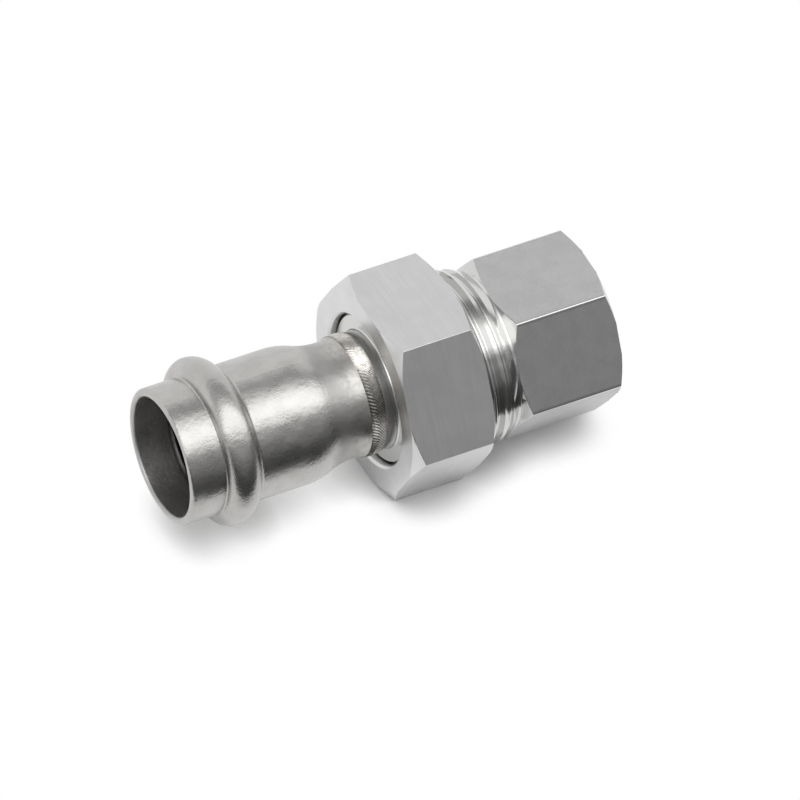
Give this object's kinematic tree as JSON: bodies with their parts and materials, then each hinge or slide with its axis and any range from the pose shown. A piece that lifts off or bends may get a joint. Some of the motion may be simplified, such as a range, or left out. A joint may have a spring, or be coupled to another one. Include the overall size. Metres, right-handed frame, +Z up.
{
  "type": "flat seal union",
  "caption": "Straight stainless pipe union: press socket for tube, loose hexagon nut over a flat gasket seat, and a hexagon body with a female pipe thread.",
  "frame": {"origin": "centre of the press socket's mouth, on the fitting's axis", "axes": "+X along the axis from the press socket to the female thread, +Z up, square to the nut's flat that the fitting lies on"},
  "size_m": [0.0839, 0.0426, 0.037],
  "materials": {
    "socket_steel": "satin, formed sheet",
    "weld_steel": "fine ripples, faint warm tint",
    "turned_steel": "turned and polished",
    "nut_steel": "fine brushed flats",
    "body_steel": "fine blasted flats, polished thread",
    "seal_rubber": "smooth black",
    "gasket_rubber": "matt black"
  },
  "bodies": {
    "body": {"threaded_body": "body_steel", "flat_gasket": "gasket_rubber"},
    "tail": {"press_socket": "socket_steel", "socket_seal_ring": "seal_rubber", "weld_bead": "weld_steel", "collar": "turned_steel"},
    "nut": {"union_nut": "nut_steel"}
  },
  "joints": [
    {"name": "tail_slide", "type": "slide", "parent": "body", "child": "tail", "axis": [-1, 0, 0], "range_m": [0, 0.00693]},
    {"name": "nut_turn", "type": "hinge", "parent": "tail", "child": "nut", "pos_m": [0.04848, 0, 0], "axis": [-1, 0, 0], "range_deg": [0, 1080]}
  ],
  "couplings": [
    {"joint": "nut_turn", "follows": "tail_slide", "rad_per_m": 2721.2}
  ]
}
